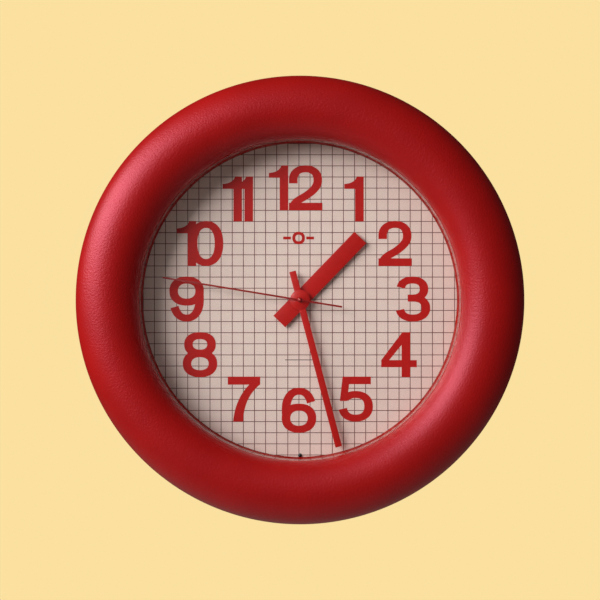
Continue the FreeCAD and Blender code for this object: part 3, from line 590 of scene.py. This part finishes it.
def domed_profile(radius, rear, top, rise, steps=12):
    """Pin or boss from its axis out: a flat foot, a straight side and a shallow round dome, whose
    depth at radius r is top - rise (r / radius)^2."""
    r = np.linspace(radius, 0, steps)
    dome = np.stack([r, top - rise * (r / radius) ** 2], -1)
    return np.concatenate([[(0, rear), (radius, rear)], dome])


def black_acetal():
    """Turned or moulded acetal: black with a soft waxy gloss."""
    material, tree, place = start_material("black_acetal")
    colour = mottle(tree, place, "#0E0E0F", "#141415", 0.002)
    links = {"Base Color": colour, "Normal": grain(tree, place, 0.0005, 0.00001, 0.3)}
    return end_material(material, add_node(tree, "BsdfPrincipled", links=links, inputs={"Roughness": 0.35}))


pin = turned("pin_head", domed_profile(PIN_RADIUS, PIN_FOOT, PIN_TOP, PIN_DOME), 48, (0.0, PIN_Z))
pin.data.materials.append(black_acetal())
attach(pin, "clock")
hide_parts("locating_pin")

# ---- Hands ----
# Three bars stamped from thin aluminium and enamelled red, each pressed by its collet onto its own
# tube or shaft. The stamping leaves their front edges slightly rounded. The minute hand carries a
# domed boss, and the second hand a small domed pin.
HAND_EDGE = 0.00014
COLLET_WALL = 0.0007


def stamped_bar(name, width, tail, tip, rear, thickness, turn):
    """Bar with square ends and rounded front edges: its outline is inset by a quarter round of
    radius e, so at an angle t the inset is e (1 - cos t) and the depth is front - e (1 - sin t)."""
    front = rear + thickness
    t = np.radians([0, 30, 60, 90])
    insets = np.concatenate([[0.0], HAND_EDGE * (1 - np.cos(t))])
    depths = np.concatenate([[rear], front - HAND_EDGE * (1 - np.sin(t))])
    corners = np.array([(-1, -1), (1, -1), (1, 1), (-1, 1)])
    half = np.array([width / 2, (tip + tail) / 2])
    middle = np.array([0.0, (tip - tail) / 2])
    rings = middle + corners[None] * (half[None, None] - insets[:, None, None])
    angle = np.radians(turn)
    x = rings[..., 0] * np.cos(angle) + rings[..., 1] * np.sin(angle)
    z = rings[..., 1] * np.cos(angle) - rings[..., 0] * np.sin(angle)
    y = np.broadcast_to(-depths[:, None], x.shape)
    points = np.stack([x, y, z], -1).reshape(-1, 3)
    level, side = np.arange(len(insets) - 1)[:, None] * 4, np.arange(4)[None]
    beside = (side + 1) % 4
    walls = np.stack([level + side, level + beside, level + 4 + beside, level + 4 + side], -1)
    last = len(points) - 4
    caps = np.array([[3, 2, 1, 0], [last, last + 1, last + 2, last + 3]])
    return make_piece(name, points, np.concatenate([walls.reshape(-1, 4), caps]))


def red_enamel(name, colour_a, colour_b):
    """Sprayed enamel on aluminium: a smooth satin red with a trace of orange peel."""
    material, tree, place = start_material(name)
    colour = mottle(tree, place, colour_a, colour_b, 0.004)
    peel = grain(tree, place, 0.0012, 0.00001, 0.35)
    links = {"Base Color": colour, "Normal": peel}
    inputs = {"Roughness": 0.38, "IOR": 1.5, "Specular IOR Level": 0.35}
    return end_material(material, add_node(tree, "BsdfPrincipled", links=links, inputs=inputs))


HAND_RED = red_enamel("red_hand_enamel", "#B2100B", "#B9120D")
# The second hand's enamel is the same red as the other hands, painted darker: painted shade for the shadow
# that the thin hand throws right beside itself.
SECOND_RED_PAINTED_SHADE = red_enamel("red_hand_enamel_painted_shade", "#8C0F0D", "#94110F")
HOUR_LIFT = 0.002
HAND_STEP = 0.002
HOUR_REAR = DIAL_FRONT + HOUR_LIFT
MINUTE_REAR = HOUR_REAR + HAND_STEP
SECOND_REAR = MINUTE_REAR + HAND_STEP
HAND_THICKNESS = 0.0005
SECOND_THICKNESS = 0.0003
COLLET_LENGTH = 0.0011
HOUR_TUBE = 0.0025
MINUTE_TUBE = 0.0015
SECOND_PIN = 0.00115
SECOND_FOOT = SECOND_REAR - 0.00055
MINUTE_BOSS = 0.0057
MINUTE_BOSS_RISE = 0.0009
BOSS_SINK = 0.00002
BOSS_HOLE_CLEARANCE = 0.0002
SECOND_TOP = -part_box("second_hand")[0].y


def collet(name, fit_radius, rear):
    """Short sleeve behind a hand, pressed onto its tube."""
    return turned(name, tube_profile(fit_radius + COLLET_WALL, fit_radius, rear - COLLET_LENGTH, rear), 64)


hour_bar = stamped_bar("hour_hand_bar", width=0.0094, tail=0.0170, tip=0.0495, turn=44.0,
                       rear=HOUR_REAR, thickness=HAND_THICKNESS)
hour_collet = collet("hour_hand_collet", HOUR_TUBE, HOUR_REAR)
minute_bar = stamped_bar("minute_hand_bar", width=0.0038, tail=0.0168, tip=0.0862, turn=165.2,
                         rear=MINUTE_REAR, thickness=HAND_THICKNESS)
minute_collet = collet("minute_hand_collet", MINUTE_TUBE, MINUTE_REAR)


def boss_dome():
    """Domed washer with a hole for the second hand's pin: depth falls from the crown by
    rise (r / radius)^2, and the rim is straight down to the hand's front."""
    hole = SECOND_PIN + BOSS_HOLE_CLEARANCE
    foot = MINUTE_REAR + BOSS_SINK
    r = np.linspace(MINUTE_BOSS, hole, 20)
    crown = MINUTE_REAR + HAND_THICKNESS + MINUTE_BOSS_RISE
    dome = np.stack([r, crown - MINUTE_BOSS_RISE * (r / MINUTE_BOSS) ** 2], -1)
    return np.concatenate([[(hole, foot), (MINUTE_BOSS, foot)], dome])


minute_boss = turned("minute_hand_boss", boss_dome(), 96)
second_bar = stamped_bar("second_hand_bar", width=0.0010, tail=0.0242, tip=0.0789, turn=279.3,
                         rear=SECOND_REAR, thickness=SECOND_THICKNESS)
second_pin = turned("second_hand_pin", domed_profile(SECOND_PIN, SECOND_FOOT, SECOND_TOP, PIN_DOME), 48)
for body, node, slot, paint, pieces in (
        ("hours", "hour_hand", "hand_enamel", HAND_RED, (hour_bar, hour_collet)),
        ("minutes", "minute_hand", "hand_enamel", HAND_RED, (minute_bar, minute_collet, minute_boss)),
        ("seconds", "second_hand", "second_enamel", SECOND_RED_PAINTED_SHADE, (second_bar, second_pin))):
    for hand_piece in pieces:
        hand_piece.data.materials.append(paint)
        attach(hand_piece, body)
        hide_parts(node)

# ---- Movement, plate and hanger ----
# Everything behind the dial is carried over from the design as it stands: black ABS mouldings,
# zinc-plated screws and hanger, acetal wheels, and the motor's iron, wire and magnet.
WIRE_PITCH = 0.00025
BANDS_PER_UNIT = 20


def moulded(name, colour_a, colour_b, roughness, grain_size=0.0006, grain_height=0.00003):
    """Moulded plastic: a colour with a slight drift and the fine grain of an eroded tool."""
    material, tree, place = start_material(name)
    colour = mottle(tree, place, colour_a, colour_b, 0.01)
    links = {"Base Color": colour, "Normal": grain(tree, place, grain_size, grain_height, 0.5)}
    inputs = {"Roughness": roughness}
    return end_material(material, add_node(tree, "BsdfPrincipled", links=links, inputs=inputs))


def metal(name, colour_a, colour_b, roughness, grain_size, stretch=(1, 1, 1)):
    """Bare or plated metal: a tone with rolling or plating marks, stretched along one way."""
    material, tree, place = start_material(name)
    along = add_node(tree, "Mapping", links={"Vector": place}, inputs={"Scale": stretch}).outputs[0]
    colour = mottle(tree, along, colour_a, colour_b, grain_size * 4)
    links = {"Base Color": colour, "Normal": grain(tree, along, grain_size, 0.00001, 0.4)}
    inputs = {"Roughness": roughness, "Metallic": 1.0}
    return end_material(material, add_node(tree, "BsdfPrincipled", links=links, inputs=inputs))


BLACK_ABS = moulded("black_abs", "#242527", "#2A2B2D", 0.48)
PLATE_ABS = moulded("grained_black_abs", "#28292B", "#303133", 0.55, 0.0009, 0.00005)
ZINC = metal("bright_zinc_plate", "#B9BEC4", "#C9CDD1", 0.28, 0.0006)
ROLLED_ZINC = metal("rolled_zinc_steel", "#A9ADB2", "#BCC0C4", 0.34, 0.0005, (1, 1, 12))
NICKEL = metal("nickel_spring_steel", "#C4BFB2", "#D2CEC3", 0.22, 0.0005, (1, 1, 8))
IRON = metal("soft_iron", "#77797C", "#8A8C8F", 0.42, 0.0005)
TINNED = metal("tinned_can", "#C8CACC", "#D8D9DA", 0.18, 0.0006)
ARBOR_STEEL = metal("polished_steel", "#B8BBBF", "#C6C9CC", 0.15, 0.0004)
ACETAL = moulded("natural_acetal", "#E4E1D8", "#EBE9E1", 0.35, 0.0005, 0.00001)
NYLON = moulded("natural_nylon", "#D9D3C3", "#E2DDCF", 0.42)
BOARD = moulded("phenolic_board", "#8A6233", "#96703F", 0.5)
RESIN = moulded("black_epoxy", "#0B0B0C", "#131314", 0.2, 0.001, 0.00002)
FERRITE = moulded("sintered_magnet", "#3A3B3E", "#46474A", 0.5)
KNOB_ABS = moulded("white_abs", "#DCDAD3", "#E4E2DC", 0.42)


def enamelled_wire():
    """Fine copper wire under clear enamel, wound side by side. The real wire is near 0.05 mm and
    is drawn at 0.25 mm so that the turns show."""
    material, tree, place = start_material("enamelled_copper")
    wave_inputs = {"Scale": 1 / WIRE_PITCH / BANDS_PER_UNIT, "Distortion": 0.0}
    wave = add_node(tree, "TexWave", links={"Vector": place}, inputs=wave_inputs, bands_direction="X")
    bump_inputs = {"Strength": 0.6, "Distance": 0.0001}
    bump = add_node(tree, "Bump", links={"Height": wave.outputs["Fac"]}, inputs=bump_inputs)
    colour = mottle(tree, place, "#9C4A1E", "#B05A28", 0.001)
    links = {"Base Color": colour, "Normal": bump.outputs["Normal"]}
    inputs = {"Roughness": 0.25, "Metallic": 0.8, "Coat Weight": 0.5}
    return end_material(material, add_node(tree, "BsdfPrincipled", links=links, inputs=inputs))


FINISHES = {
    "back_plate": PLATE_ABS, "plate_screws": ZINC, "hanger_plate": ROLLED_ZINC, "hanger_screws": ZINC,
    "movement_case": BLACK_ABS, "movement_cover": BLACK_ABS, "movement_screws": ZINC,
    "positive_contact": NICKEL, "negative_contact": NICKEL, "coil_core": IRON, "coil_bobbin": NYLON,
    "coil_winding": enamelled_wire(), "stator": IRON, "circuit_board": BOARD, "clock_chip": RESIN,
    "quartz_crystal": TINNED, "rotor_magnet": FERRITE, "rotor_pinion": ACETAL,
    "intermediate_wheel": ACETAL, "second_wheel": ACETAL, "second_arbor": ARBOR_STEEL,
    "third_wheel": ACETAL, "minute_wheel": ACETAL, "motion_wheel": ACETAL, "hour_wheel": ACETAL,
    "setting_wheel": ACETAL, "setting_knob": KNOB_ABS,
}
for node, finish in FINISHES.items():
    node_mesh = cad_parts[node].data
    node_mesh.materials.clear()
    node_mesh.materials.append(finish)

# ---- Battery ----
# A size AA cell: a drawn steel can in a plain shrunk sleeve, whose ends turn in over the shoulders,
# with the bright nub of the positive end standing out of its washer. It carries no lettering.
CELL_LOW, CELL_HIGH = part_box("battery")
CELL_RADIUS = (CELL_HIGH.z - CELL_LOW.z) / 2
NUB_LENGTH = 0.0015
NUB_RADIUS = 0.00275
SLEEVE_ROUND = 0.0009
SLEEVE_LIP = CELL_RADIUS * 0.78
END_DISH = 0.0003
BAND_LENGTH = 0.0135


def turned_along_x(name, profile, middle, turns=96):
    """A closed profile of (radius r, distance x) turned about an axis along X through the middle
    (y, z): each goes to (x, y + r cos a, z + r sin a)."""
    points, faces = turned_points(profile, turns)
    x, y, z = -points[:, 1], middle[0] + points[:, 0], middle[1] + points[:, 2]
    return make_piece(name, np.stack([x, y, z], -1), faces)


def cell_pieces():
    """Sleeve with rounded shoulders, the flat end disc, and the nub."""
    middle = ((CELL_LOW.y + CELL_HIGH.y) / 2, (CELL_LOW.z + CELL_HIGH.z) / 2)
    left, shoulder = CELL_LOW.x, CELL_HIGH.x - NUB_LENGTH
    t = np.linspace(0, np.pi / 2, 8)
    flank = CELL_RADIUS - SLEEVE_ROUND
    fall = SLEEVE_ROUND * (1 - np.cos(t))
    right_round = np.stack([flank + SLEEVE_ROUND * np.sin(t), shoulder - fall], -1)
    left_round = np.stack([flank + SLEEVE_ROUND * np.sin(t), left + fall], -1)[::-1]
    lip, dish = SLEEVE_LIP, END_DISH
    right_end = [(0, shoulder - dish), (lip, shoulder - dish), (lip, shoulder)]
    left_end = [(lip, left), (lip, left + dish), (0, left + dish)]
    sleeve = np.concatenate([right_end, right_round, left_round, left_end])
    washer = tube_profile(lip * 0.96, 0, shoulder - dish, shoulder - dish / 2)
    foot = tube_profile(lip * 0.9, 0, left + dish / 3, left + dish)
    nub = [(0, shoulder - dish / 2), (NUB_RADIUS * 1.25, shoulder - dish / 2)]
    nub += [(NUB_RADIUS * 1.05, shoulder), (NUB_RADIUS, shoulder + dish)]
    nub += [(NUB_RADIUS, CELL_HIGH.x - dish), (NUB_RADIUS - dish, CELL_HIGH.x), (0, CELL_HIGH.x)]
    shapes = {"cell_sleeve": sleeve, "cell_washer": washer, "cell_foot": foot, "cell_nub": nub}
    return {name: turned_along_x(name, profile, middle) for name, profile in shapes.items()}


def cell_sleeve_print():
    """Shrunk plastic sleeve: plain dark body with a copper-toned band at the positive end."""
    material, tree, place = start_material("printed_cell_sleeve")
    across = add_node(tree, "SeparateXYZ", links={"Vector": place}).outputs["X"]
    band = add_node(tree, "Math", links={0: across}, operation="GREATER_THAN")
    band.inputs[1].default_value = CELL_HIGH.x - BAND_LENGTH
    body = mottle(tree, place, "#24282B", "#2A2F32", 0.004)
    copper = {"Color2": linear("#A8702E")}
    tone = add_node(tree, "MixRGB", links={"Fac": band.outputs[0], "Color1": body}, inputs=copper)
    links = {"Base Color": tone.outputs[0], "Normal": grain(tree, place, 0.002, 0.00001, 0.4)}
    return end_material(material, add_node(tree, "BsdfPrincipled", links=links, inputs={"Roughness": 0.22}))


CELL_FINISHES = {
    "cell_sleeve": cell_sleeve_print(), "cell_washer": BLACK_ABS,
    "cell_foot": TINNED, "cell_nub": TINNED,
}
for name, cell_piece in cell_pieces().items():
    cell_piece.data.materials.append(CELL_FINISHES[name])
    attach(cell_piece, "clock")
    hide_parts("battery")

# ---- Studio ----
# A plain pale floor well below the clock, a pale surround, one long soft light that wraps from the
# front round to the left and a little above, and a weak soft one from above.
FLOOR_DROP = 1.0
FLOOR_HALF = 1.8


def studio_floor():
    """Flat square of floor."""
    corners = np.array([(-1, -1), (1, -1), (1, 1), (-1, 1)]) * FLOOR_HALF
    points = np.stack([corners[:, 0], corners[:, 1], np.full(4, -FLOOR_DROP)], -1)
    return make_piece("studio_floor", points, [[0, 1, 2, 3]])


floor = studio_floor()
floor.data.materials.append(moulded("pale_floor", "#EFE9DC", "#F2ECE0", 0.7, 0.004, 0.00002))


def soft_light(name, off_axis, around, distance, sizes, power):
    """White lamp that faces the dial's middle. Off the axis by an angle u and round it by an angle t from
    3 o'clock, its direction is (sin u cos t, -cos u, sin u sin t). Its first size lies along that
    direction's change with u, and its second across it."""
    u, t = np.radians(off_axis), np.radians(around)
    aim = np.array([np.sin(u) * np.cos(t), -np.cos(u), np.sin(u) * np.sin(t)])
    along = np.array([np.cos(u) * np.cos(t), np.sin(u), np.cos(u) * np.sin(t)])
    lamp = bpy.data.lights.new(name, "AREA")
    lamp.shape = "RECTANGLE"
    lamp.size, lamp.size_y = sizes
    lamp.energy = power
    holder = bpy.data.objects.new(name, lamp)
    frame_of_lamp = np.eye(4)
    frame_of_lamp[:3] = np.stack([along, np.cross(aim, along), aim, aim * distance], -1)
    holder.matrix_world = mathutils.Matrix(frame_of_lamp.tolist())
    bpy.context.scene.collection.objects.link(holder)
    return holder


soft_light("key_light", off_axis=56, around=153, distance=1.1, sizes=(1.0, 0.55), power=21.5)
top_light = soft_light("top_light", off_axis=50, around=95, distance=1.2, sizes=(1.1, 1.1), power=2.0)
top_light.visible_glossy = False


def pale_surround():
    """Even surround: a pale warm yellow where it's seen, a dim white as fill light, and nearly
    black in reflections, as in a darkened studio, so that reds stay deep."""
    world = bpy.data.worlds.new("pale_surround")
    world.use_nodes = True
    tree = world.node_tree
    tree.nodes.clear()
    seen = add_node(tree, "Background", inputs={"Color": linear("#FBE0A0"), "Strength": 1.0})
    fill = add_node(tree, "Background", inputs={"Color": linear("#FFFFFF"), "Strength": 0.135})
    dark = add_node(tree, "Background", inputs={"Color": linear("#FFFFFF"), "Strength": 0.03})
    path = add_node(tree, "LightPath")
    links = {0: path.outputs["Is Glossy Ray"], 1: fill.outputs[0], 2: dark.outputs[0]}
    light = add_node(tree, "MixShader", links=links)
    links = {0: path.outputs["Is Camera Ray"], 1: light.outputs[0], 2: seen.outputs[0]}
    surround = add_node(tree, "MixShader", links=links)
    add_node(tree, "OutputWorld", links={"Surface": surround.outputs[0]})
    return world


bpy.context.scene.world = pale_surround()
bpy.context.scene.view_settings.view_transform = "Standard"

# ---- Camera ----
# Square on to the dial, at the distance at which the lip hides as much of the dial's edge as it
# does on the real clock.
CAMERA_DISTANCE = 0.69
HALF_VIEW = 0.16736
camera_data = bpy.data.cameras.new("camera")
camera_data.sensor_width = 36.0
camera_data.lens = camera_data.sensor_width / 2 * CAMERA_DISTANCE / HALF_VIEW
camera = bpy.data.objects.new("camera", camera_data)
camera.location = (0.0, -LIP_DEPTH - CAMERA_DISTANCE, 0.0)
camera.rotation_euler = (np.pi / 2, 0.0, 0.0)
bpy.context.scene.collection.objects.link(camera)
bpy.context.scene.camera = camera
